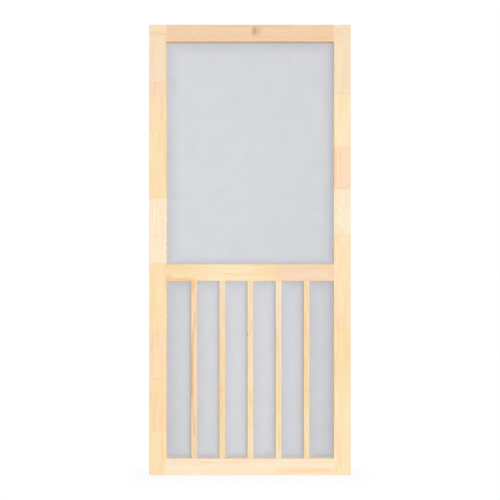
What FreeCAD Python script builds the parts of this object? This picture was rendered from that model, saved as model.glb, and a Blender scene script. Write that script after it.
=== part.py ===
"""Wooden screen door: a mortised pine frame, a screened upper light and a barred, screened lower light.

The door stands on z = 0 and its left edge lies on x = 0. Its front faces -Y, and its thickness is
centred on y = 0. All lengths are millimetres.
"""

import FreeCAD
import Part

import os
from collections import namedtuple

# Driving dimensions: the door as a whole
door_width = 908.0
door_height = 2032.0
door_thickness = 25.4
arris = 1.0  # flat taken off the exposed edges of the frame

# Driving dimensions: frame members
stile_width = 76.2
rail_width = 76.2
middle_rail_height = 876.0  # foot of the door to the lower edge of the middle rail

# Driving dimensions: rail tenons and their mortises in the stiles
tenon_length = 50.0
tenon_thickness = 8.0
tenon_shoulder = 14.0  # rail edge to tenon edge
glue_gap = 0.1  # each side of every tenon
mortise_relief = 1.0  # depth left beyond the end of every tenon

# Driving dimensions: bars of the lower light
bar_count = 5
bar_pitch = 127.0  # from one bar's middle to the next
bar_width = 30.2
bar_edge_radius = 6.35  # rounding of a bar's four long edges
bar_setback = 1.2  # bar faces behind the frame's front face
bar_tenon_length = 12.0
bar_side_shoulder = 3.0  # bar side to tenon side
bar_face_shoulder = 2.5  # bar face to tenon face

# Driving dimensions: the seat of each screen, cut into the back of the frame
rebate_width = 12.7
rebate_depth = 6.4
rebate_corner_radius = 6.0  # left by the cutter
groove_inset = 5.0  # edge of the opening to the spline groove
groove_width = 4.0
groove_depth = 5.0
groove_wall = 1.8  # wood kept between a groove's floor and the bar tenons

# Driving dimensions: screen cloth and the spline that holds it
screen_thickness = 0.3
screen_openings_across = 12  # of the coarse lattice that stands in for the weave
screen_strand_width = 3.0
spline_clearance = 0.05  # beside the cloth that is folded round the spline
spline_butt_gap = 0.3  # between two lengths of spline at a corner
spline_edge_radius = 1.4
widest_rounding = 0.45  # largest rounding, as a share of the side that carries it

# Planes through the thickness of the door
front = -door_thickness / 2
back = door_thickness / 2
screen_plane = back - rebate_depth
groove_floor = screen_plane - groove_depth
bar_front = front + bar_setback
bar_tenon_front = bar_front + bar_face_shoulder
bar_tenon_back = groove_floor - groove_wall

# Section of a spline: what the groove leaves inside the cloth that lines it
spline_lining = screen_thickness + spline_clearance
spline_width = groove_width - 2 * spline_lining
spline_height = groove_depth - spline_lining
spline_rounding = min(spline_edge_radius, widest_rounding * min(spline_width, spline_height))

# The two lights, each named by the edges of its opening
Light = namedtuple("Light", "left right foot head")
right_stile_left = door_width - stile_width
middle_rail_head = middle_rail_height + rail_width
top_rail_foot = door_height - rail_width
upper_light = Light(stile_width, right_stile_left, middle_rail_head, top_rail_foot)
lower_light = Light(stile_width, right_stile_left, rail_width, middle_rail_height)
lights = {"upper": upper_light, "lower": lower_light}
rail_feet = {"bottom_rail": 0.0, "middle_rail": middle_rail_height, "top_rail": top_rail_foot}

X_AXIS = FreeCAD.Vector(1, 0, 0)
Y_AXIS = FreeCAD.Vector(0, 1, 0)
Z_AXIS = FreeCAD.Vector(0, 0, 1)


def block(x_span, y_span, z_span):
    """Solid box between the given (low, high) pairs."""
    spans = (x_span, y_span, z_span)
    sides = [high - low for low, high in spans]
    corner = FreeCAD.Vector(*[low for low, high in spans])
    return Part.makeBox(*sides, corner)


def edges_along(shape, axis):
    """The straight edges of a box that run along an axis."""
    return [edge for edge in shape.Edges if round(abs(edge.tangentAt(edge.FirstParameter).dot(axis))) == 1]


def light_block(light, margin, y_span):
    """Box over a light's opening, grown by a margin on all four sides."""
    x_span = (light.left - margin, light.right + margin)
    z_span = (light.foot - margin, light.head + margin)
    return block(x_span, y_span, z_span)


def light_corners(light, margin, y):
    """Corners of a light's opening, grown by a margin, in the plane at y."""
    left, right = light.left - margin, light.right + margin
    foot, head = light.foot - margin, light.head + margin
    corners = [(left, foot), (right, foot), (right, head), (left, head)]
    return [FreeCAD.Vector(x, y, z) for x, z in corners]


def flat_face(corners):
    """Flat face through a ring of corners."""
    return Part.Face(Part.makePolygon(corners + corners[:1]))


def eased_slab():
    """The door's outline as one slab, with its front and back edges eased."""
    slab = block((0, door_width), (front, back), (0, door_height))
    face_edges = edges_along(slab, X_AXIS) + edges_along(slab, Z_AXIS)
    return slab.makeChamfer(arris, face_edges)


def opening_arris(light):
    """Tapered cutter that eases the front edges round an opening at 45 degrees."""
    near = light_corners(light, 2 * arris, front - arris)
    far = light_corners(light, 0, front + arris)
    faces = [flat_face(near), flat_face(far)]
    for index in range(len(near)):
        faces.append(flat_face([near[index - 1], near[index], far[index], far[index - 1]]))
    return Part.Solid(Part.Shell(faces))


def screen_seat(light):
    """Cutter for the rebate in the back of the frame and the spline groove in the rebate's floor."""
    rebate = light_block(light, rebate_width, (screen_plane, back + rebate_depth))
    rebate = rebate.makeFillet(rebate_corner_radius, edges_along(rebate, Y_AXIS))
    groove_span = (groove_floor, screen_plane)
    groove = light_block(light, groove_inset + groove_width, groove_span)
    groove = groove.cut(light_block(light, groove_inset, groove_span))
    return rebate.fuse(groove)


def rail_tenons(foot, gap=0.0, relief=0.0):
    """Both tenons of a rail as one bar through it, or their mortises when given a gap and a relief."""
    reach = tenon_length + relief
    cheek = tenon_thickness / 2 + gap
    x_span = (stile_width - reach, right_stile_left + reach)
    z_span = (foot + tenon_shoulder - gap, foot + rail_width - tenon_shoulder + gap)
    return block(x_span, (-cheek, cheek), z_span)


def bar_left_side(index):
    """Left side of a bar: the row of bars is centred in the opening."""
    middle_of_row = (lower_light.left + lower_light.right) / 2
    middle_of_bar = middle_of_row + (index - (bar_count - 1) / 2) * bar_pitch
    return middle_of_bar - bar_width / 2


def bar_tenons(index, gap=0.0, relief=0.0):
    """Both tenons of a bar as one stick through it, or their mortises when given a gap and a relief."""
    left = bar_left_side(index)
    reach = bar_tenon_length + relief
    x_span = (left + bar_side_shoulder - gap, left + bar_width - bar_side_shoulder + gap)
    y_span = (bar_tenon_front - gap, bar_tenon_back + gap)
    z_span = (lower_light.foot - reach, lower_light.head + reach)
    return block(x_span, y_span, z_span)


def shape_frame_member(blank):
    """Eases a frame member's outer edges and cuts both lights' seats and front arrises into it."""
    member = blank.common(eased_slab())
    for light in lights.values():
        member = member.cut(screen_seat(light))
        member = member.cut(opening_arris(light))
    return member


def make_left_stile():
    """Left upright of the frame, mortised for the three rails."""
    stile = shape_frame_member(block((0, stile_width), (front, back), (0, door_height)))
    for foot in rail_feet.values():
        stile = stile.cut(rail_tenons(foot, glue_gap, mortise_relief))
    return stile


def make_right_stile():
    """Right upright of the frame: the left one's mirror image about the middle of the door."""
    middle = FreeCAD.Vector(door_width / 2, 0, 0)
    return make_left_stile().mirror(middle, X_AXIS)


def make_rail(foot):
    """Cross member of the frame with a tenon at each end, mortised for any bars that stand in it."""
    blank = block((stile_width, right_stile_left), (front, back), (foot, foot + rail_width))
    rail = shape_frame_member(blank).fuse(rail_tenons(foot)).removeSplitter()
    for index in range(bar_count):
        rail = rail.cut(bar_tenons(index, glue_gap, mortise_relief))
    return rail


def make_bar(index):
    """Upright bar in front of the lower screen, tenoned into the middle and bottom rails."""
    left = bar_left_side(index)
    stick = block((left, left + bar_width), (bar_front, screen_plane), (lower_light.foot, lower_light.head))
    stick = stick.makeFillet(bar_edge_radius, edges_along(stick, Z_AXIS))
    return stick.fuse(bar_tenons(index)).removeSplitter()


def lattice_gap(edge, pitch, index):
    """Span of one opening of the lattice in one direction, from strand to strand."""
    start = edge + index * pitch
    return start + screen_strand_width / 2, start + pitch - screen_strand_width / 2


def make_screen(light):
    """Screen cloth on the rebate's floor, out to the spline groove: a lattice of nearly square openings."""
    sheet = light_block(light, groove_inset, (screen_plane, screen_plane + screen_thickness))
    through = (screen_plane - screen_thickness, screen_plane + 2 * screen_thickness)
    width, height = light.right - light.left, light.head - light.foot
    openings_up = round(height / width * screen_openings_across)
    openings = []
    for column in range(screen_openings_across):
        x_span = lattice_gap(light.left, width / screen_openings_across, column)
        for row in range(openings_up):
            z_span = lattice_gap(light.foot, height / openings_up, row)
            openings.append(block(x_span, through, z_span))
    return sheet.cut(openings)


def spline_length(x_span, z_span, axis):
    """One length of spline in its groove: a cord squeezed flat-sided, its long edges still rounded."""
    cord = block(x_span, (groove_floor + spline_lining, screen_plane), z_span)
    return cord.makeFillet(spline_rounding, edges_along(cord, axis))


def make_splines(light):
    """The four lengths of spline round a light; the level ones butt between the upright ones."""
    near = groove_inset + spline_lining
    far = near + spline_width
    left = (light.left - far, light.left - near)
    right = (light.right + near, light.right + far)
    bottom = (light.foot - far, light.foot - near)
    top = (light.head + near, light.head + far)
    upright = (light.foot - far, light.head + far)
    level = (light.left - near + spline_butt_gap, light.right + near - spline_butt_gap)
    return {
        "left": spline_length(left, upright, Z_AXIS),
        "right": spline_length(right, upright, Z_AXIS),
        "bottom": spline_length(level, bottom, X_AXIS),
        "top": spline_length(level, top, X_AXIS),
    }


def make_door():
    """Every piece of the door, by name."""
    pieces = {"left_stile": make_left_stile(), "right_stile": make_right_stile()}
    for name, foot in rail_feet.items():
        pieces[name] = make_rail(foot)
    for index in range(bar_count):
        pieces[f"bar_{index + 1}"] = make_bar(index)
    for name, light in lights.items():
        pieces[f"{name}_screen"] = make_screen(light)
        for side, spline in make_splines(light).items():
            pieces[f"{name}_spline_{side}"] = spline
    return pieces


def main():
    os.makedirs("parts", exist_ok=True)
    for name, shape in make_door().items():
        shape.exportStep(f"parts/{name}.step")
        box = shape.BoundBox
        size = f"{box.XLength:.1f} x {box.YLength:.1f} x {box.ZLength:.1f} mm"
        volume = f"{shape.Volume / 1000:.1f} cm3"
        print(f"{name}: {len(shape.Solids)} solid, {size}, {volume}, valid {shape.isValid()}")


main()
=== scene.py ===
"""Finishes a wooden screen door: pine frame and bars, woven screens, ribbed splines and a white studio."""

import math
from collections import namedtuple

import bmesh
import bpy
from bpy.props import FloatProperty, FloatVectorProperty, IntProperty, PointerProperty
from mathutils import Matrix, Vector


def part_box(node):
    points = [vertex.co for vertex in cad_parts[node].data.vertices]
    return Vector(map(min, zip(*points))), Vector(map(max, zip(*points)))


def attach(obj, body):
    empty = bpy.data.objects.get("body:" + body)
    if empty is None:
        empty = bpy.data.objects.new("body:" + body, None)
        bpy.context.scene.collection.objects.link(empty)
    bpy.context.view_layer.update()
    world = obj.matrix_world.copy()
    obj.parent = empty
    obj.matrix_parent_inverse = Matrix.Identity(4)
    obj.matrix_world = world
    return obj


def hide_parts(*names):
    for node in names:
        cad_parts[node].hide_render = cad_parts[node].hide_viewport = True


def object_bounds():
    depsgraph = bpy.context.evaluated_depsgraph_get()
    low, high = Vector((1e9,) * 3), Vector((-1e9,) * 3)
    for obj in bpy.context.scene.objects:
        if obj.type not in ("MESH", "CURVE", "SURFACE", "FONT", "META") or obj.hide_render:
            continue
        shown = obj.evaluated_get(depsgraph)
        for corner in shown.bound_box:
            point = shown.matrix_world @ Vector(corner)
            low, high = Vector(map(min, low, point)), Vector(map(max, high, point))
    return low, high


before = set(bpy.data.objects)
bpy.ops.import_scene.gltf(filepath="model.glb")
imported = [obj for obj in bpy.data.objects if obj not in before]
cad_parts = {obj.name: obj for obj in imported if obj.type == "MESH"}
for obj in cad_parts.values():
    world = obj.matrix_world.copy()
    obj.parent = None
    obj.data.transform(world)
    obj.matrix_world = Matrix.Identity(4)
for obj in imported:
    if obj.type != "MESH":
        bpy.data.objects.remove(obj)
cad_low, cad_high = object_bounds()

bl_info = {
    "name": "Wooden Screen Door",
    "version": (1, 0, 0),
    "blender": (4, 5, 0),
    "location": "View3D > Sidebar > Screen Door",
    "description": "Finishes for a pine screen door with woven screens, and a white studio to show it in",
    "category": "Object",
}

MM = 0.001
BODY = "root"  # nothing on the door moves, so it is one body

# The door's place in the photograph, in pixels
photo_side = 500
photo_door_head = 24.6
photo_door_foot = 475.25

# From the door towards the brightest part of the studio and towards each of its lamps
BRIGHT_SIDE = Vector((0.6, -1.0, -0.35))
KEY_SIDE = Vector((1.75, -2.4, -0.3))
BACK_SIDE = Vector((0.5, 2.4, 2.2))
REAR_SIDE = Vector((0.0, 3.0, 0.0))
EDGE_SIDE = Vector((-2.4, 1.6, 0.6))


def tone(red, green, blue):
    """A colour as a screen shows it, 0 to 255 each, in linear values."""
    shares = [level / 255 for level in (red, green, blue)]
    return tuple(share / 12.92 if share < 0.04045 else ((share + 0.055) / 1.055) ** 2.4 for share in shares)


def colour_property(name, description, default):
    return FloatVectorProperty(
        name=name, description=description, subtype="COLOR", size=3, min=0.0, max=1.0, default=default
    )


def number_property(name, description, default, low=0.0, **options):
    return FloatProperty(name=name, description=description, default=default, min=low, **options)


def length_property(name, description, default):
    return number_property(name, description, default, unit="LENGTH")


def share_property(name, description, default):
    return number_property(name, description, default, max=1.0, subtype="FACTOR")


def count_property(name, description, default, low, high):
    return IntProperty(name=name, description=description, default=default, min=low, max=high)


# Settings that a user would change


class PineTones(bpy.types.PropertyGroup):
    """Colours of the sticks that the members are made up from"""

    straw: colour_property("Straw", "Yellow sapwood", tone(253, 229, 185))
    butter: colour_property("Butter", "Deep yellow sapwood", tone(252, 226, 179))
    pale_straw: colour_property("Pale Straw", "Light yellow sapwood", tone(254, 233, 195))
    cream: colour_property("Cream", "Pale sapwood", tone(254, 237, 208))
    white_cream: colour_property("White Cream", "Palest sapwood", tone(253, 238, 210))
    tan_cream: colour_property("Tan Cream", "Pale sapwood with a brown cast", tone(249, 228, 198))
    rose_cream: colour_property("Rose Cream", "Pale wood with a pink cast", tone(255, 236, 210))
    blush: colour_property("Blush", "Pink heartwood", tone(254, 225, 193))
    rose: colour_property("Rose", "Deeper pink heartwood", tone(249, 220, 190))
    honey: colour_property("Honey", "Warm yellow wood", tone(254, 226, 187))
    deep_honey: colour_property("Deep Honey", "Warm orange wood", tone(254, 225, 185))
    orange: colour_property("Orange", "Resinous heartwood", tone(248, 216, 177))
    tan: colour_property("Tan", "Brown heartwood", tone(244, 212, 179))
    knot: colour_property("Knot", "Heart of a knot", tone(200, 140, 104))


class PineGrain(bpy.types.PropertyGroup):
    """Growth rings, fibres and joints of the wood"""

    ring_width: length_property("Ring Width", "One year's growth", 4.0 * MM)
    nearest_pith: length_property("Nearest Pith", "Least depth of a log's centre behind a face", 30 * MM)
    furthest_pith: length_property("Furthest Pith", "Greatest depth of a log's centre", 110 * MM)
    late_wood: colour_property("Late Wood", "Tint of the dark part of a ring", (0.92, 0.80, 0.64))
    resin: colour_property("Resin", "Tint of a brown, resinous streak", (0.86, 0.75, 0.62))
    amber: colour_property("Amber", "Tint of a reddish streak", (0.96, 0.80, 0.71))
    honey: colour_property("Honey", "Tint of a yellow streak", (1.0, 0.90, 0.76))
    bar_tint: colour_property("Bar Tint", "Tint of the bars, darker than the frame", (0.96, 0.97, 0.985))
    end_grain: colour_property("End Grain", "Tint of the cut ends", (0.80, 0.68, 0.52))
    # Eased edges: partly wear, partly painted shade where their slope turns away from the front
    edge_wear_and_shade: colour_property("Handled", "Tint of eased edges, darkened by hands", (0.86, 0.82, 0.78))
    glue: colour_property("Glue Line", "Tint of the line where two sticks meet", (0.82, 0.70, 0.54))
    glue_width: length_property("Glue Line Width", "Width of that line", 0.8 * MM)
    finger_length: length_property("Finger Length", "Length of the fingers that join two sticks", 28 * MM)
    finger_pitch: length_property("Finger Pitch", "Spacing of the fingers", 6.35 * MM)
    relief: length_property("Relief", "Depth of the grain that sanding leaves", 0.12 * MM)
    roughness: share_property("Roughness", "Roughness of sanded wood", 0.55)


class ScreenWeave(bpy.types.PropertyGroup):
    """Coated glass-fibre insect screen, 18 by 16 strands to the inch"""

    strand_diameter: length_property("Strand Diameter", "Thickness of a coated strand", 0.285 * MM)
    across_pitch: length_property("Pitch Across", "Spacing of the upright strands", 25.4 / 18 * MM)
    up_pitch: length_property("Pitch Up", "Spacing of the level strands", 25.4 / 16 * MM)
    tuck: length_property("Tuck", "Depth of the strands' ends in the spline groove", 3.6 * MM)
    bite: share_property("Bite", "Share of a strand sunk in the one it crosses", 0.3)
    sides: count_property("Sides", "Sides of a strand", 6, 3, 12)
    colour: colour_property("Colour", "Vinyl coating of the strands", tone(183, 185, 190))


class SplineVinyl(bpy.types.PropertyGroup):
    """Ribbed vinyl cord that holds the screens in their grooves"""

    ribs: count_property("Ribs", "Ribs round the cord", 18, 4, 40)
    rib_depth: length_property("Rib Depth", "Depth between two ribs", 0.16 * MM)
    squareness: number_property("Squareness", "How flat the cord is pressed, 2 for round", 3.2, 2, max=8)
    colour: colour_property("Colour", "Vinyl", tone(58, 59, 62))


class Studio(bpy.types.PropertyGroup):
    """White studio: soft light from the front, a key lamp a little to the right, and lamps behind"""

    camera_distance: length_property("Camera Distance", "From the door's face", 2.4)
    sensor: number_property("Sensor", "Width of the camera's sensor in mm", 36, 1)
    fill: number_property("Fill", "Strength of the surrounding light", 0.43)
    fill_lean: share_property("Fill Lean", "How far the surrounding light comes from the front", 0.6)
    key: number_property("Key", "Strength of the key lamp", 1.71)
    back: number_property("Back", "Strength of the lamp high behind the door", 1.3)
    rear: number_property("Rear", "Strength of the lamp straight behind the door", 0.75)
    edge: number_property("Edge", "Strength of the lamp at the left edge", 0.8)
    softness: number_property("Softness", "Width of the lamps in the sky", math.radians(30), subtype="ANGLE")
    floor_colour: colour_property("Floor", "Pale floor", (0.50, 0.50, 0.50))
    shadow_reach: length_property("Shadow Reach", "How far the door's shadow shows on the floor", 0.15)
    shadow_depth: share_property("Shadow Depth", "How dark the shadow may be", 0.05)
    card_gap: length_property("Card Gap", "From a screen or the door's front to a card", 1.5 * MM)
    card_white: colour_property("Card White", "Colour of the cards", (0.945, 0.955, 1.0))
    card_shade: share_property("Card Shade", "Part of the cards' white that shadows can darken", 0.10)
    card_glow: share_property("Card Glow", "Part of the cards' white that stays even", 0.805)
    # Depth, reach and place of the shade painted on the cards
    frame_shade: share_property("Frame Shade", "How much dimmer the cards are beside the frame", 0.235)
    bar_shade: share_property("Bar Shade", "How much dimmer the lower card is beside the bars", 0.11)
    side_shade: share_property("Side Shade", "How much dimmer the lower card is towards both sides", 0.11)
    shade_shift: length_property("Shade Shift", "How far to the right the cards' shade sits", 5 * MM)


class ScreenDoorSettings(bpy.types.PropertyGroup):
    """All settings of the door"""

    tones: PointerProperty(type=PineTones)
    grain: PointerProperty(type=PineGrain)
    weave: PointerProperty(type=ScreenWeave)
    spline: PointerProperty(type=SplineVinyl)
    studio: PointerProperty(type=Studio)


# Node trees


class Signal:
    """An output socket in a node tree. Arithmetic on it adds Math nodes."""

    def __init__(self, network, socket):
        self.network = network
        self.socket = socket

    def math(self, operation, *values):
        return self.network.node("ShaderNodeMath", {"operation": operation}, dict(enumerate(values)))

    def __add__(self, other):
        return self.math("ADD", self, other)

    def __radd__(self, other):
        return self.math("ADD", other, self)

    def __sub__(self, other):
        return self.math("SUBTRACT", self, other)

    def __rsub__(self, other):
        return self.math("SUBTRACT", other, self)

    def __mul__(self, other):
        return self.math("MULTIPLY", self, other)

    def __rmul__(self, other):
        return self.math("MULTIPLY", other, self)

    def __truediv__(self, other):
        return self.math("DIVIDE", self, other)

    def __rtruediv__(self, other):
        return self.math("DIVIDE", other, self)

    def __pow__(self, other):
        return self.math("POWER", self, other)

    def __gt__(self, other):
        return self.math("GREATER_THAN", self, other)

    def __abs__(self):
        return self.math("ABSOLUTE", self)

    def fraction(self):
        return self.math("FRACT", self)

    def root(self):
        return self.math("SQRT", self)

    def sign(self):
        return self.math("SIGN", self)

    def cosine(self):
        return self.math("COSINE", self)

    def largest(self, other):
        return self.math("MAXIMUM", self, other)

    def smallest(self, other):
        return self.math("MINIMUM", self, other)

    def rise(self, low, high, interpolation="SMOOTHSTEP"):
        """From 0 at low to 1 at high, and level beyond them."""
        sockets = {"Value": self, "From Min": low, "From Max": high}
        return self.network.node("ShaderNodeMapRange", {"interpolation_type": interpolation}, sockets)


def root_of_squares(first, second):
    return (first * first + second * second).root()


class Network:
    """A node tree whose nodes are added one by one."""

    def __init__(self, tree):
        self.tree = tree

    def node(self, kind, settings=None, sockets=None, output=0):
        """Adds a node: its settings first, then its sockets' values or links. Gives one of its outputs."""
        added = self.tree.nodes.new(kind)
        for name, value in (settings or {}).items():
            if name == "stops":
                self.set_stops(added.color_ramp.elements, value)
            else:
                setattr(added, name, value)
        for key, value in (sockets or {}).items():
            self.feed(added.inputs[key], value)
        return Signal(self, added.outputs[output]) if added.outputs else None

    def feed(self, socket, value):
        """Links a signal to a socket, or sets the socket's own value."""
        if isinstance(value, Signal):
            self.tree.links.new(value.socket, socket)
        elif socket.type == "RGBA":
            socket.default_value = (*value, 1.0)
        else:
            socket.default_value = value

    @staticmethod
    def set_stops(elements, stops):
        """Gives a ramp its (position, colour) stops."""
        while len(elements) < len(stops):
            elements.new(1.0)
        for element, (position, colour) in zip(elements, stops):
            element.position = position
            element.color = (*colour, 1.0)

    def parts(self, vector):
        """The three components of a vector."""
        split = self.node("ShaderNodeSeparateXYZ", sockets={0: vector}).socket.node
        return [Signal(self, socket) for socket in split.outputs]

    def vector(self, *components):
        return self.node("ShaderNodeCombineXYZ", sockets=dict(enumerate(components)))

    def dot(self, first, second):
        settings = {"operation": "DOT_PRODUCT"}
        return self.node("ShaderNodeVectorMath", settings, {0: first, 1: second}, "Value")

    def seen(self):
        """1 on rays from the camera, in a mirror or through glass, and 0 on rays that only light things."""
        path = self.node("ShaderNodeLightPath").socket.node.outputs
        camera, glossy, through = (
            Signal(self, path[name]) for name in ("Is Camera Ray", "Is Glossy Ray", "Is Transmission Ray")
        )
        return camera.largest(glossy).largest(through)


class Finish(Network):
    """A material."""

    def __init__(self, name):
        self.material = bpy.data.materials.new(name)
        self.material.use_nodes = True
        super().__init__(self.material.node_tree)
        self.shader = self.tree.nodes["Principled BSDF"]

    def coordinates(self, output="Object"):
        return self.node("ShaderNodeTexCoord", output=output)

    def noise(self, vector, detail=2.0):
        """Noise from about 0 to 1 whose scale is in the vector."""
        return self.node("ShaderNodeTexNoise", sockets={"Vector": vector, "Scale": 1.0, "Detail": detail})

    def blend(self, factor, first, second, blend_type="MIX"):
        """Mixes two colours."""
        settings = {"data_type": "RGBA", "blend_type": blend_type}
        return self.node("ShaderNodeMix", settings, {0: factor, 6: first, 7: second}, output=2)

    def tint(self, colour, factor, by):
        return self.blend(factor, colour, by, "MULTIPLY")

    def bump(self, height, distance, strength):
        sockets = {"Height": height, "Distance": distance, "Strength": strength}
        return self.node("ShaderNodeBump", sockets=sockets)

    def surface(self, **sockets):
        """Feeds the shader's sockets, named with underscores for spaces."""
        for name, value in sockets.items():
            self.feed(self.shader.inputs[name.replace("_", " ")], value)
        return self.material

    def mix_in(self, kind, factor):
        """Mixes another shader into the surface by a factor."""
        other = self.node(kind)
        first = Signal(self, self.shader.outputs[0])
        whole = self.node("ShaderNodeMixShader", sockets={0: factor, 1: first, 2: other})
        self.tree.links.new(whole.socket, self.tree.nodes["Material Output"].inputs["Surface"])


class Recipe(Network):
    """A Geometry Nodes tree that turns a path into a finished mesh."""

    def __init__(self, name, **inputs):
        super().__init__(bpy.data.node_groups.new(name, "GeometryNodeTree"))
        kinds = {"Path": "NodeSocketGeometry", "Material": "NodeSocketMaterial", **inputs}
        self.sockets = {
            name: self.tree.interface.new_socket(name=name, in_out="INPUT", socket_type=kind).identifier
            for name, kind in kinds.items()
        }
        self.tree.interface.new_socket(name="Mesh", in_out="OUTPUT", socket_type="NodeSocketGeometry")
        self.group = self.node("NodeGroupInput").socket.node

    def given(self, name):
        return Signal(self, self.group.outputs[name])

    def swept(self, section, capped):
        """The path with a section swept along it."""
        path = self.node("GeometryNodeMeshToCurve", sockets={"Mesh": self.given("Path")})
        sockets = {"Curve": path, "Profile Curve": section, "Fill Caps": capped}
        return self.node("GeometryNodeCurveToMesh", sockets=sockets)

    def finish(self, geometry):
        """Ends the tree with real, finished geometry."""
        real = self.node("GeometryNodeRealizeInstances", sockets={0: geometry})
        sockets = {"Geometry": real, "Material": self.given("Material")}
        self.node("NodeGroupOutput", sockets={0: self.node("GeometryNodeSetMaterial", sockets=sockets)})

    def mesh(self, name, points, **values):
        """Plain mesh that the tree makes of a path of points."""
        path = bpy.data.meshes.new("path")
        path.from_pydata(points, [(index, index + 1) for index in range(len(points) - 1)], [])
        carrier = bpy.data.objects.new("path", path)
        bpy.context.scene.collection.objects.link(carrier)
        modifier = carrier.modifiers.new(self.tree.name, "NODES")
        modifier.node_group = self.tree
        for socket_name, value in values.items():
            modifier[self.sockets[socket_name]] = value
        evaluated = carrier.evaluated_get(bpy.context.evaluated_depsgraph_get())
        made = bpy.data.meshes.new_from_object(evaluated)
        bpy.data.objects.remove(carrier)
        bpy.data.meshes.remove(path)
        return joined(name, [made], values["Material"])


def joined(name, meshes, material):
    """One mesh of several, all of one material. The several are used up."""
    whole = bmesh.new()
    for mesh in meshes:
        whole.from_mesh(mesh)
        bpy.data.meshes.remove(mesh)
    for face in whole.faces:
        face.material_index = 0
    result = bpy.data.meshes.new(name)
    whole.to_mesh(result)
    whole.free()
    result.materials.append(material)
    return result


def add_piece(name, mesh, slot, *nodes):
    """Links a finished mesh as a piece of the door that stands for CAD nodes."""
    piece = bpy.data.objects.new(name, mesh)
    bpy.context.scene.collection.objects.link(piece)
    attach(piece, BODY)
    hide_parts(*nodes)
    return piece


# Pine: what shows on each member. Lengths are in mm, along the grain from the door's foot or left edge,
# and across it from the member's middle, upwards or to the right.

Block = namedtuple("Block", "start tones")
Knot = namedtuple("Knot", "along across half_length half_width strength")
Streak = namedtuple("Streak", "tint start_along start_across end_along end_across half_width strength")

KNOTS = {
    "top_rail": [Knot(475, 10, 17, 27, 1.0), Knot(488, 14, 26, 30, 0.40), Knot(201, -27, 8, 3, 0.5)],
    "bar_2": [Knot(385, 0, 8, 3, 0.35)],
    "bar_3": [Knot(637, -12, 9, 5, 0.8)],
    "bar_5": [Knot(382, 2, 8, 3, 0.35)],
}

STREAKS = {
    "left_stile": [
        Streak("amber", 1610, 16, 1724, 17, 6, 0.35),
        Streak("honey", 1566, 18, 1640, 19, 9, 0.40),
        Streak("amber", 650, -25, 950, -26, 6, 0.25),
        Streak("amber", 440, -27, 640, -26, 10, 0.30),
        Streak("honey", 450, 14, 640, 16, 14, 0.35),
        Streak("amber", 205, -20, 340, -17, 10, 0.30),
        Streak("honey", 200, 15, 435, 18, 14, 0.35),
        Streak("honey", 91, 17, 195, 19, 7, 0.55),
    ],
    "right_stile": [
        Streak("amber", 660, 12, 855, 14, 8, 0.32),
        Streak("honey", 470, 18, 560, 20, 10, 0.30),
        Streak("amber", 1300, -32, 1475, -30, 12, 0.60),
    ],
    "top_rail": [
        Streak("amber", 300, 28, 640, 30, 9, 0.30),
        Streak("honey", 480, -20, 820, -26, 9, 0.55),
        Streak("honey", 90, -22, 330, -30, 9, 0.42),
    ],
    "middle_rail": [
        Streak("amber", 76, -25, 190, -31, 7, 0.90),
        Streak("amber", 40, -26, 100, -28, 26, 1.0),
        Streak("honey", 520, 10, 580, 2, 24, 0.30),
        Streak("amber", 700, 20, 830, 24, 12, 0.25),
        Streak("amber", 804, -2, 880, -4, 26, 0.45),
    ],
    "bottom_rail": [
        Streak("honey", 580, -20, 832, -17, 19, 1.0),
        Streak("honey", 430, -31, 590, -28, 10, 0.40),
        Streak("amber", 690, -17, 832, -16, 10, 0.25),
        Streak("amber", 360, 27, 590, 30, 4, 0.45),
        Streak("amber", 90, 30, 280, 24, 4, 0.30),
        Streak("amber", 240, 2, 420, 8, 5, 0.15),
    ],
    "bar_1": [
        Streak("resin", 574, -5, 745, 7, 5, 1.0),
        Streak("resin", 339, -5, 590, -5, 7, 1.0),
        Streak("resin", 180, 2, 345, -5, 6, 0.9),
        Streak("amber", 826, -3, 880, 1, 13, 0.9),
    ],
    "bar_2": [Streak("honey", 280, -1, 620, 0, 8, 0.60)],
    "bar_3": [Streak("resin", 270, 0, 370, 1, 4, 0.35)],
    "bar_4": [Streak("honey", 80, 4, 330, 2, 6, 0.30)],
    "bar_5": [Streak("honey", 300, 1, 690, 3, 7, 0.50), Streak("resin", 545, 8, 600, 9, 3, 0.5)],
}


def stile_blocks(tones):
    """Finger-jointed sticks of the two stiles, from the door's foot upwards."""
    left = [
        Block(0, (tones.straw,)),
        Block(195, (tones.deep_honey,)),
        Block(438, (tones.deep_honey, tones.blush)),
        Block(650, (tones.straw,)),
        Block(957, (tones.cream,)),
        Block(1079, (tones.cream,)),
        Block(1252, (tones.straw,)),
        Block(1557, (tones.honey, tones.honey, tones.rose)),
        Block(1775, (tones.tan_cream,)),
        Block(1989, (tones.orange, tones.tan_cream, tones.tan_cream)),
    ]
    right = [
        Block(0, (tones.pale_straw, tones.butter)),
        Block(655, (tones.honey, tones.pale_straw)),
        Block(1083, (tones.white_cream,)),
        Block(1293, (tones.blush,)),
        Block(1480, (tones.pale_straw,)),
        Block(1721, (tones.tan_cream,) * 4 + (tones.rose,)),
        Block(2016, (tones.tan_cream,)),
    ]
    return {"left_stile": left, "right_stile": right}


def rail_blocks(tones):
    """Sticks of the three rails, from the left stile to the right one."""
    return {
        "top_rail": [Block(0, (tones.tan,))],
        "middle_rail": [
            Block(0, (tones.butter, tones.butter, tones.pale_straw, tones.pale_straw, tones.butter)),
            Block(558, (tones.rose, tones.rose, tones.blush)),
        ],
        "bottom_rail": [Block(0, (tones.rose_cream, tones.rose_cream, tones.cream))],
    }


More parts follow.
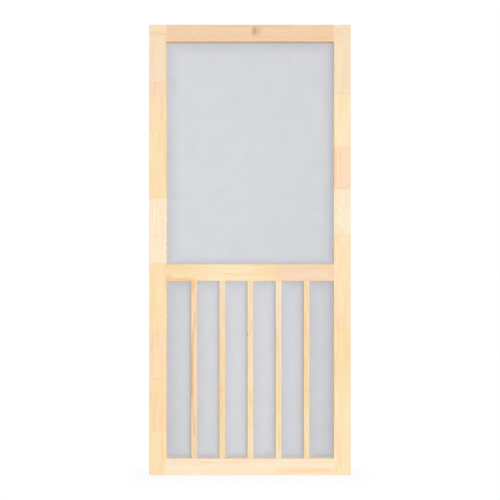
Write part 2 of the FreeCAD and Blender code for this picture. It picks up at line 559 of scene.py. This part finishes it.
def bar_blocks(tones):
    """Tones of the five bars, each one stick, from the bottom rail to the middle one."""
    return {
        "bar_1": [Block(0, (tones.orange, tones.blush, tones.blush, tones.honey))],
        "bar_2": [Block(0, (tones.butter, tones.butter, tones.deep_honey, tones.tan_cream))],
        "bar_3": [Block(0, (tones.pale_straw, tones.straw, tones.tan_cream, tones.pale_straw))],
        "bar_4": [Block(0, (tones.pale_straw, tones.straw, tones.tan_cream, tones.white_cream))],
        "bar_5": [Block(0, (tones.pale_straw, tones.butter, tones.deep_honey, tones.straw))],
    }


NO_CAST = (1.0, 1.0, 1.0)
FINGERS_ON_FACE = ("middle_rail",)  # its fingers are cut across the face; the others' show on the edges

# Seeds of the chances in each member's sticks
STILE_SEED = 3
RAIL_SEED = 103
BAR_SEED = 203
SEED_STEP = 20  # from one member to the next, more than the sticks in any of them

# Knots and streaks: where a mark is full and where it ends, in shares of its half-width
KNOT_EDGE = (0.1, 1.25)
KNOT_SWELL = (0.2, 2.8)
KNOT_PUSH = 0.6  # how far a knot pushes the rings aside, in shares of its half-width
KNOT_DEPTH = 0.75  # share of the knot's own colour at its heart
STREAK_EDGE = (0.1, 1.2)
STREAK_FADE = 22 * MM  # beyond each end of a streak, and as far before it
STREAK_RAGGEDNESS = 16 * MM  # how far its line wanders, from side to side

# How sticks are sawn from a log. Each is a whole range, half of it to either side.
LEAN = 0.10  # slope of the log's axis across a stick's face
DIVE = 0.05  # slope of the log's axis into the stick
PITH_SPREAD = 120 * MM  # place of the log's centre across the face
WANDER_ACROSS = 35 * MM  # bends of the log across the face
WANDER_DEPTH = 20 * MM  # bends of the log into the stick
RING_UNEVENNESS = 1.6  # in rings

# Noise in the wood: how often it changes along the grain and across it, in a metre
WANDER_GRAIN = (2.6, 9)
FIBRE_GRAIN = (28, 950)
HONEY_GRAIN = (3.2, 70)
FLUSH_GRAIN = (5.0, 34)
PATCH_GRAIN = (14, 45)
CANAL_GRAIN = (55, 1500)

# How squarely a surface looks one way: where a tint starts or ends, and where it has done so fully
CUT_END = (0.80, 0.95)  # along the grain
EASED_EDGE_STARTS = (0.30, 0.60)  # to the door's front or back
EASED_EDGE_ENDS = (0.75, 0.97)

# The sanded surface
RING_RELIEF = 0.35
FIBRE_RELIEF = 0.65
RELIEF_STRENGTH = 0.5
FIBRE_ROUGHNESS = 0.14
RING_SMOOTHNESS = 0.06
MEAN_CHANGE = (FIBRE_ROUGHNESS - RING_SMOOTHNESS) / 2  # of the roughness, by fibres and rings together

# Tints of the wood's natural mottling
LATE_WOOD_DEPTH = 0.34
HONEY_CAST = (0.97, 0.90, 0.79)
ROSE_CAST = (0.99, 0.95, 0.93)
PALE_CAST = (1.0, 1.025, 1.05)
PINK_PATCH = (1.0, 0.962, 0.965)
GREEN_PATCH = (0.985, 0.995, 0.94)
FIBRE_SHADE = (0.93, 0.87, 0.78)
CANAL_SHADE = (0.80, 0.66, 0.50)


class Stick:
    """A member's directions in its finish: along the grain, across its face, and in from the door's front."""

    def __init__(self, finish, node, upright):
        low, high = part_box(node)
        middle = (low + high) / 2
        x, y, z = finish.parts(finish.coordinates())
        self.finish = finish
        self.depth = y - cad_low.y
        if upright:
            self.along, self.across = z, x - middle.x
            self.span, self.end_axis = (low.z, high.z), (0.0, 0.0, 1.0)
        else:
            self.along, self.across = x, z - middle.z
            self.span, self.end_axis = (low.x, high.x), (1.0, 0.0, 0.0)

    def noise(self, along, across, shift, detail=3.0):
        """Noise drawn out along the grain: scales per metre, and a shift that differs from stick to stick."""
        vector = self.finish.vector(self.along * along + shift, self.across * across, self.depth * across)
        return self.finish.noise(vector, detail)


def block_tone(stick, along, blocks):
    """Colour of the sticks along a member. The tones of one stick run into each other; sticks don't."""
    low, high = stick.span
    starts = [max(block.start * MM, low) for block in blocks] + [high]
    sharp = 0.1 * MM
    stops = []
    for block, start, end in zip(blocks, starts, starts[1:]):
        tones = block.tones if len(block.tones) > 1 else block.tones * 2
        for index, colour in enumerate(tones):
            place = start + sharp + (end - start - 2 * sharp) * index / (len(tones) - 1)
            stops.append(((place - low) / (high - low), tuple(colour)))
    return stick.finish.node("ShaderNodeValToRGB", {"stops": stops}, {0: (along - low) / (high - low)})


def knot_marks(stick, knots):
    """How dark the knots are, and how far they push the rings aside."""
    mark, swell = 0, 0
    for knot in knots:
        reach_along = (stick.along - knot.along * MM) / (knot.half_length * MM)
        reach_across = (stick.across - knot.across * MM) / (knot.half_width * MM)
        distance = root_of_squares(reach_along, reach_across)
        mark = ((1 - distance.rise(*KNOT_EDGE)) * knot.strength).largest(mark)
        swell = (1 - distance.rise(*KNOT_SWELL)) * (knot.half_width * MM * KNOT_PUSH) + swell
    return mark, swell


def streak_marks(stick, streaks, ragged):
    """How strong some streaks are."""
    mark = 0
    for streak in streaks:
        start, end = streak.start_along * MM, streak.end_along * MM
        share = stick.along.rise(start, end, "LINEAR")
        line = share * ((streak.end_across - streak.start_across) * MM) + streak.start_across * MM
        beside = abs(stick.across - line + ragged) / (streak.half_width * MM)
        started = stick.along.rise(start - STREAK_FADE, start + STREAK_FADE)
        ended = stick.along.rise(end - STREAK_FADE, end + STREAK_FADE)
        mark = ((1 - beside.rise(*STREAK_EDGE)) * (started - ended) * streak.strength).largest(mark)
    return mark


def growth_rings(stick, chance, swell, grain):
    """Late wood, from 0 to 1, of a stick sawn from anywhere in a log and a little off its axis."""
    aside, inwards, slant = chance
    wander = stick.noise(*WANDER_GRAIN, slant * 40, 2.0) - 0.5
    lean = (slant - 0.5) * LEAN
    dive = ((aside + slant).fraction() - 0.5) * DIVE
    pith_across = (aside - 0.5) * PITH_SPREAD
    pith_depth = inwards * (grain.furthest_pith - grain.nearest_pith) + grain.nearest_pith
    ring_across = stick.across + stick.along * lean + wander * WANDER_ACROSS - pith_across
    ring_depth = stick.depth + stick.along * dive + wander * WANDER_DEPTH + pith_depth
    radius = root_of_squares(ring_across, ring_depth) + swell
    uneven = stick.finish.noise(stick.finish.vector(radius * 90, slant * 30, aside * 30), 1.0) - 0.5
    ring = (radius / grain.ring_width + uneven * RING_UNEVENNESS).fraction()
    return ring.rise(0.25, 0.90) - ring.rise(0.90, 1.0)


def pine(name, node, upright, blocks, cast, grain, knot_tone, seed):
    """Solid pine: sticks joined end to end, each with its own rings, fibres, streaks, knots and end grain."""
    finish = Finish(name)
    stick = Stick(finish, node, upright)
    finger_place = stick.across if node in FINGERS_ON_FACE else stick.depth
    fingers = 1 - abs((finger_place / grain.finger_pitch).fraction() * 2 - 1)
    along_joint = stick.along - fingers * grain.finger_length
    colour = finish.tint(block_tone(stick, along_joint, blocks), 1.0, tuple(cast))
    number, glue = seed, 0
    for block in blocks[1:]:
        past = along_joint - block.start * MM
        number = (past > 0) + number
        glue = (1 - abs(past).rise(grain.glue_width / 4, grain.glue_width)).largest(glue)
    settings = {"noise_dimensions": "1D"}
    chance = finish.parts(finish.node("ShaderNodeTexWhiteNoise", settings, {"W": number}, "Color"))
    aside, inwards, slant = chance

    knot, swell = knot_marks(stick, KNOTS.get(node, []))
    late = growth_rings(stick, chance, swell, grain)
    fibre = stick.noise(*FIBRE_GRAIN, inwards * 90)
    honey = stick.noise(*HONEY_GRAIN, aside * 60)
    flush = stick.noise(*FLUSH_GRAIN, slant * 80, 2.0)
    patch = stick.noise(*PATCH_GRAIN, inwards * 50, 2.0)
    canal = stick.noise(*CANAL_GRAIN, aside * 70, 1.0)
    normal = finish.coordinates("Normal")
    cut_end = abs(finish.dot(normal, stick.end_axis)).rise(*CUT_END)
    facing = abs(finish.dot(normal, (0.0, 1.0, 0.0)))
    eased_edge_wear_and_shade = facing.rise(*EASED_EDGE_STARTS) - facing.rise(*EASED_EDGE_ENDS)

    mottling = [
        (late * LATE_WOOD_DEPTH, tuple(grain.late_wood)),
        (honey.rise(0.44, 0.70) * 0.60, HONEY_CAST),
        (flush.rise(0.48, 0.72) * 0.70, ROSE_CAST),
        (1 - flush.rise(0.28, 0.50), PALE_CAST),
        (patch.rise(0.50, 0.72) * 0.80, PINK_PATCH),
        ((1 - patch.rise(0.30, 0.50)) * 0.80, GREEN_PATCH),
        (fibre.rise(0.45, 0.75) * 0.30, FIBRE_SHADE),
        (canal.rise(0.66, 0.74) * 0.35, CANAL_SHADE),
    ]
    for mask, tint in mottling:
        colour = finish.tint(colour, mask, tint)
    for kind in ("resin", "amber", "honey"):
        streaks = [streak for streak in STREAKS.get(node, []) if streak.tint == kind]
        if streaks:
            mark = streak_marks(stick, streaks, (honey - 0.5) * STREAK_RAGGEDNESS)
            colour = finish.tint(colour, mark, tuple(getattr(grain, kind)))
    if len(blocks) > 1:
        colour = finish.tint(colour, glue, tuple(grain.glue))
    if node in KNOTS:
        colour = finish.blend(knot * KNOT_DEPTH, colour, tuple(knot_tone))
    colour = finish.tint(colour, cut_end, tuple(grain.end_grain))
    # Darker eased edges: partly wear, partly painted shade on the flanks that turn from the front to the
    # sides
    colour = finish.tint(colour, eased_edge_wear_and_shade, tuple(grain.edge_wear_and_shade))
    return finish.surface(
        Base_Color=colour,
        Roughness=fibre * FIBRE_ROUGHNESS - late * RING_SMOOTHNESS + (grain.roughness - MEAN_CHANGE),
        Specular_IOR_Level=0.2,
        Normal=finish.bump(late * RING_RELIEF + fibre * FIBRE_RELIEF, grain.relief, RELIEF_STRENGTH),
    )


def dress(node, material):
    """Gives a CAD node its finish."""
    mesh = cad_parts[node].data
    mesh.materials.clear()
    mesh.materials.append(material)


# Screens


def coated_glass_fibre(weave):
    """Matt vinyl over glass yarn, a little darker and rougher in cloudy patches."""
    finish = Finish("silver-grey screen")
    x, y, z = finish.parts(finish.coordinates())
    cloud = finish.noise(finish.vector(x * 18, y * 400, z * 18), 3.0)
    colour = finish.tint(tuple(weave.colour), cloud.rise(0.35, 0.70), (0.88, 0.88, 0.89))
    return finish.surface(Base_Color=colour, Roughness=cloud * 0.2 + 0.42, Specular_IOR_Level=0.35)


def strand_row():
    """Recipe for a row of strands that all follow one path."""
    recipe = Recipe(
        "Strand Row", Count="NodeSocketInt", Spacing="NodeSocketVector", Diameter="NodeSocketFloat",
        Sides="NodeSocketInt",
    )
    sockets = {"Resolution": recipe.given("Sides"), "Radius": recipe.given("Diameter") * 0.5}
    section = recipe.node("GeometryNodeCurvePrimitiveCircle", sockets=sockets)
    strand = recipe.swept(section, False)
    sockets = {"Count": recipe.given("Count"), "Offset": recipe.given("Spacing")}
    places = recipe.node("GeometryNodeMeshLine", sockets=sockets)
    recipe.finish(recipe.node("GeometryNodeInstanceOnPoints", sockets={"Points": places, "Instance": strand}))
    return recipe


def even_row(low, high, pitch):
    """First place and count of strands at a pitch, centred between two limits."""
    gaps = math.floor((high - low) / pitch)
    return (low + high - gaps * pitch) / 2, gaps + 1


def woven_screen(light, weave, material, recipe):
    """Two layers of straight strands, fused where they cross, with their ends tucked beside the spline."""
    low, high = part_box(f"{light}_screen")
    left = (low.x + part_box(f"{light}_spline_left")[1].x) / 2
    right = (high.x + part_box(f"{light}_spline_right")[0].x) / 2
    foot = (low.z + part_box(f"{light}_spline_bottom")[1].z) / 2
    head = (high.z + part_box(f"{light}_spline_top")[0].z) / 2
    strand = weave.strand_diameter
    warp_y = low.y + strand / 2
    weft_y = warp_y + strand * (1 - weave.bite)
    tucked_y = warp_y - weave.tuck
    common = {"Diameter": strand, "Sides": weave.sides, "Material": material}

    x, count = even_row(low.x, high.x, weave.across_pitch)
    path = [(x, tucked_y, foot), (x, warp_y, foot), (x, warp_y, head), (x, tucked_y, head)]
    warp = recipe.mesh("warp", path, Count=count, Spacing=(weave.across_pitch, 0, 0), **common)
    z, count = even_row(low.z, high.z, weave.up_pitch)
    path = [(left, tucked_y, z), (left, weft_y, z), (right, weft_y, z), (right, tucked_y, z)]
    weft = recipe.mesh("weft", path, Count=count, Spacing=(0, 0, weave.up_pitch), **common)

    cloth = joined(f"{light} screen", [warp, weft], material)
    piece = add_piece(f"{light}_woven_screen", cloth, "screen_cloth", f"{light}_screen")
    cut = (right - left + 2 * weave.tuck, head - foot + 2 * weave.tuck)


# Splines


def soft_vinyl(spline):
    """Dull vinyl, scuffed where a roller pressed it in."""
    finish = Finish("spline vinyl")
    x, y, z = finish.parts(finish.coordinates())
    scuff = finish.noise(finish.vector(x * 160, y * 500, z * 160), 4.0)
    colour = finish.blend(scuff.rise(0.50, 0.80) * 0.35, tuple(spline.colour), tone(120, 120, 124))
    normal = finish.bump(scuff, 0.05 * MM, 0.4)
    return finish.surface(Base_Color=colour, Roughness=scuff * 0.3 + 0.40, Normal=normal)


def ribbed_cord():
    """Recipe for a ribbed cord that its groove has squeezed flat-sided."""
    recipe = Recipe(
        "Ribbed Cord", Across="NodeSocketFloat", Through="NodeSocketFloat", Ribs="NodeSocketInt",
        Rib_Depth="NodeSocketFloat", Squareness="NodeSocketFloat",
    )
    points_per_rib = 4
    sockets = {"Resolution": recipe.given("Ribs") * points_per_rib, "Radius": 1.0}
    circle = recipe.node("GeometryNodeCurvePrimitiveCircle", sockets=sockets)
    x, y, z = recipe.parts(recipe.node("GeometryNodeInputPosition"))
    turn = y.math("ARCTAN2", y, x) * recipe.given("Ribs")
    dip = (0.5 - turn.cosine() * 0.5) * recipe.given("Rib_Depth")
    power = 2 / recipe.given("Squareness")
    across = x.sign() * abs(x) ** power * (recipe.given("Across") * 0.5 - dip)
    through = y.sign() * abs(y) ** power * (recipe.given("Through") * 0.5 - dip)
    sockets = {"Geometry": circle, "Position": recipe.vector(across, through, 0.0)}
    recipe.finish(recipe.swept(recipe.node("GeometryNodeSetPosition", sockets=sockets), True))
    return recipe


def pressed_spline(light, side, spline, material, recipe):
    """A length of spline in the place of its CAD node."""
    node = f"{light}_spline_{side}"
    low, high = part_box(node)
    middle, size = (low + high) / 2, high - low
    if side in ("left", "right"):
        path = [(middle.x, middle.y, low.z), (middle.x, middle.y, high.z)]
        across, through = size.x, size.y
    else:
        path = [(low.x, middle.y, middle.z), (high.x, middle.y, middle.z)]
        across, through = size.y, size.z  # a level path turns the section by a quarter
    name = f"{light}_ribbed_spline_{side}"
    mesh = recipe.mesh(
        name, path, Across=across, Through=through, Ribs=spline.ribs, Rib_Depth=spline.rib_depth,
        Squareness=spline.squareness, Material=material,
    )
    add_piece(name, mesh, "spline_vinyl", node)


# Stage


def set_world(scene, studio):
    """White to look at. The light it gives comes mostly from the front."""
    scene.world = bpy.data.worlds.new("studio")
    scene.world.use_nodes = True
    sky = Network(scene.world.node_tree)
    facing = sky.dot(sky.node("ShaderNodeTexCoord", output="Generated"), BRIGHT_SIDE.normalized())
    strength = (facing * studio.fill_lean + 1) * studio.fill
    fill = sky.node("ShaderNodeBackground", sockets={"Color": (1, 1, 1), "Strength": strength})
    white = sky.node("ShaderNodeBackground", sockets={"Color": (1, 1, 1), "Strength": 1.0})
    choice = sky.node("ShaderNodeMixShader", sockets={0: sky.seen(), 1: fill, 2: white})
    sky.tree.links.new(choice.socket, sky.tree.nodes["World Output"].inputs["Surface"])


def add_stage_sheet(name, corners, material):
    """Flat four-cornered piece of the stage, which is looked at but isn't a lamp."""
    mesh = bpy.data.meshes.new(name)
    mesh.from_pydata(corners, [], [(0, 1, 2, 3)])
    material.cycles.emission_sampling = "NONE"
    mesh.materials.append(material)
    sheet = bpy.data.objects.new(name, mesh)
    bpy.context.scene.collection.objects.link(sheet)
    return sheet


def add_floor(studio):
    """Pale floor that shows white but keeps the shadow round the door's foot."""
    half = 12.0
    corners = [(-half, -half, 0), (half, -half, 0), (half, half, 0), (-half, half, 0)]
    finish = Finish("floor")
    x, y, z = finish.parts(finish.coordinates())
    beside = (abs(x - (cad_low.x + cad_high.x) / 2) - (cad_high.x - cad_low.x) / 2).largest(0)
    near = 1 - root_of_squares(beside, y).rise(0, studio.shadow_reach)
    finish.surface(Base_Color=tuple(studio.floor_colour), Roughness=0.9, Specular_IOR_Level=0.0)
    finish.mix_in("ShaderNodeEmission", finish.seen() * (1 - near * studio.shadow_depth))
    floor = add_stage_sheet("floor", corners, finish.material)
    floor.visible_diffuse = False
    floor.visible_shadow = False


# The shade that is painted on the cards
SHADE_FALLOFF = 1.5
STILE_REACH = {"upper": 70 * MM, "lower": 45 * MM}
STILE_DEPTH = {"upper": 1.0, "lower": 0.75}  # share of the frame's shade that shows beside the stiles
RAIL_REACH = 72 * MM
RAIL_SHORTENING = 1.5  # how much shorter the shade above a rail is than the shade below one
BAR_CORE = 16 * MM  # half-width of the shade that a bar hides
BAR_REACH = 46 * MM
WIDE_REACH = 330 * MM  # of the faint shade towards both sides of the lower light


def soft_shade(distance, reach):
    """From 1 at what casts the shade to 0 at its reach."""
    return (1 - distance.rise(0, reach, "LINEAR")) ** SHADE_FALLOFF


def white_card(light, studio):
    """Finish of the cards: white, with painted shade beside the frame and, at the lower light, the bars."""
    low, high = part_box(f"{light}_screen")
    finish = Finish(f"{light} card")
    x, y, z = finish.parts(finish.coordinates())
    x = x - studio.shade_shift
    from_sides = (high.x - low.x) / 2 - abs(x - (low.x + high.x) / 2)
    from_rails = (high.z - z).smallest((z - low.z) * RAIL_SHORTENING)
    beside_stiles = soft_shade(from_sides, STILE_REACH[light]) * (studio.frame_shade * STILE_DEPTH[light])
    beside_rails = soft_shade(from_rails, RAIL_REACH) * studio.frame_shade
    shade = beside_stiles.largest(beside_rails)
    if light == "lower":
        first, second = (sum(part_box(bar), Vector()).x / 2 for bar in ("bar_1", "bar_2"))
        pitch = second - first
        from_bar = abs(((x - first) / pitch + 0.5).fraction() - 0.5) * pitch
        shade = shade.largest(soft_shade(from_bar - BAR_CORE, BAR_REACH) * studio.bar_shade)
        shade = soft_shade(from_sides, WIDE_REACH) * studio.side_shade + shade
    white = tuple(studio.card_white)
    finish.surface(
        Base_Color=tuple(studio.card_shade * level for level in white),
        Roughness=1.0,
        Specular_IOR_Level=0.0,
        Emission_Color=finish.tint(white, shade, (0, 0, 0)),
        Emission_Strength=studio.card_glow,
    )
    finish.mix_in("ShaderNodeBsdfTransparent", finish.node("ShaderNodeNewGeometry", output="Backfacing"))
    return finish.material


def add_cards(light, studio):
    """Cards behind a screen and before it. Each shows only through it, and casts no light or shadow."""
    low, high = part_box(f"{light}_screen")
    material = white_card(light, studio)
    ring = [(low.x, low.z), (high.x, low.z), (high.x, high.z), (low.x, high.z)]
    seen_from_front = [(x, high.y + studio.card_gap, z) for x, z in ring]
    seen_from_back = [(x, cad_low.y + studio.card_gap, z) for x, z in reversed(ring)]
    for name, corners in (("back_card", seen_from_front), ("front_card", seen_from_back)):
        card = add_stage_sheet(f"{light}_{name}", corners, material)
        card.visible_diffuse = False
        card.visible_glossy = False
        card.visible_shadow = False


def add_lamp(name, side, strength, softness):
    """Distant soft lamp that shines on the door from a side."""
    data = bpy.data.lights.new(name, "SUN")
    data.energy = strength
    data.angle = softness
    lamp = bpy.data.objects.new(name, data)
    lamp.location = side
    lamp.rotation_mode = "QUATERNION"
    lamp.rotation_quaternion = (-side).to_track_quat("-Z", "Y")
    bpy.context.scene.collection.objects.link(lamp)


def add_camera(scene, studio):
    """Camera square to the door, framed as the photograph is."""
    frame_height = (cad_high.z - cad_low.z) * photo_side / (photo_door_foot - photo_door_head)
    data = bpy.data.cameras.new("camera")
    data.sensor_width = studio.sensor
    data.lens = studio.sensor * studio.camera_distance / frame_height
    camera = bpy.data.objects.new("camera", data)
    middle = (cad_low + cad_high) / 2
    camera.location = (middle.x, cad_low.y - studio.camera_distance, middle.z)
    camera.rotation_euler = (math.radians(90), 0, 0)
    scene.collection.objects.link(camera)
    scene.camera = camera


# Operators and their panel


def dress_members(settings, members, upright, cast, first_seed):
    """Gives each member its own pine, under a common cast."""
    for index, (node, blocks) in enumerate(members.items()):
        name = f"pine {node.replace('_', ' ')}"
        seed = first_seed + SEED_STEP * index
        dress(node, pine(name, node, upright, blocks, cast, settings.grain, settings.tones.knot, seed))


class FinishStiles(bpy.types.Operator):
    """Give the stiles their finger-jointed pine"""

    bl_idname = "screen_door.finish_stiles"
    bl_label = "Finish Stiles"

    def execute(self, context):
        settings = context.scene.screen_door
        dress_members(settings, stile_blocks(settings.tones), True, NO_CAST, STILE_SEED)
        return {"FINISHED"}


class FinishRails(bpy.types.Operator):
    """Give the rails their pine"""

    bl_idname = "screen_door.finish_rails"
    bl_label = "Finish Rails"

    def execute(self, context):
        settings = context.scene.screen_door
        dress_members(settings, rail_blocks(settings.tones), False, NO_CAST, RAIL_SEED)
        return {"FINISHED"}


class FinishBars(bpy.types.Operator):
    """Give each bar a pine stick of its own"""

    bl_idname = "screen_door.finish_bars"
    bl_label = "Finish Bars"

    def execute(self, context):
        settings = context.scene.screen_door
        dress_members(settings, bar_blocks(settings.tones), True, settings.grain.bar_tint, BAR_SEED)
        return {"FINISHED"}


class WeaveScreens(bpy.types.Operator):
    """Weave the two insect screens strand by strand"""

    bl_idname = "screen_door.weave_screens"
    bl_label = "Weave Screens"

    def execute(self, context):
        weave = context.scene.screen_door.weave
        material = coated_glass_fibre(weave)
        recipe = strand_row()
        for light in ("upper", "lower"):
            woven_screen(light, weave, material, recipe)
        return {"FINISHED"}


class PressSplines(bpy.types.Operator):
    """Press ribbed vinyl spline into the grooves round both screens"""

    bl_idname = "screen_door.press_splines"
    bl_label = "Press Splines"

    def execute(self, context):
        spline = context.scene.screen_door.spline
        material = soft_vinyl(spline)
        recipe = ribbed_cord()
        for light in ("upper", "lower"):
            for side in ("left", "right", "top", "bottom"):
                pressed_spline(light, side, spline, material, recipe)
        return {"FINISHED"}


class SetStage(bpy.types.Operator):
    """Set the white studio, its lamps and the camera straight in front of the door"""

    bl_idname = "screen_door.set_stage"
    bl_label = "Set Stage"

    def execute(self, context):
        studio = context.scene.screen_door.studio
        context.scene.view_settings.view_transform = "Standard"
        set_world(context.scene, studio)
        add_floor(studio)
        for light in ("upper", "lower"):
            add_cards(light, studio)
        add_lamp("key lamp", KEY_SIDE, studio.key, studio.softness)
        add_lamp("back lamp", BACK_SIDE, studio.back, studio.softness)
        add_lamp("rear lamp", REAR_SIDE, studio.rear, studio.softness)
        add_lamp("edge lamp", EDGE_SIDE, studio.edge, studio.softness)
        add_camera(context.scene, studio)
        return {"FINISHED"}


class ScreenDoorPanel(bpy.types.Panel):
    """Lists the steps that finish the door"""

    bl_idname = "VIEW3D_PT_screen_door"
    bl_label = "Screen Door"
    bl_space_type = "VIEW_3D"
    bl_region_type = "UI"
    bl_category = "Screen Door"

    def draw(self, context):
        for operator in STEPS:
            self.layout.operator(operator.bl_idname)


STEPS = (FinishStiles, FinishRails, FinishBars, WeaveScreens, PressSplines, SetStage)
GROUPS = (PineTones, PineGrain, ScreenWeave, SplineVinyl, Studio, ScreenDoorSettings)
CLASSES = (*GROUPS, *STEPS, ScreenDoorPanel)


def register():
    for cls in CLASSES:
        bpy.utils.register_class(cls)
    bpy.types.Scene.screen_door = PointerProperty(type=ScreenDoorSettings)


def unregister():
    del bpy.types.Scene.screen_door
    for cls in reversed(CLASSES):
        bpy.utils.unregister_class(cls)


def main():
    register()
    bpy.ops.screen_door.finish_stiles()
    bpy.ops.screen_door.finish_rails()
    bpy.ops.screen_door.finish_bars()
    bpy.ops.screen_door.weave_screens()
    bpy.ops.screen_door.press_splines()
    bpy.ops.screen_door.set_stage()


if __name__ == "__main__":
    main()
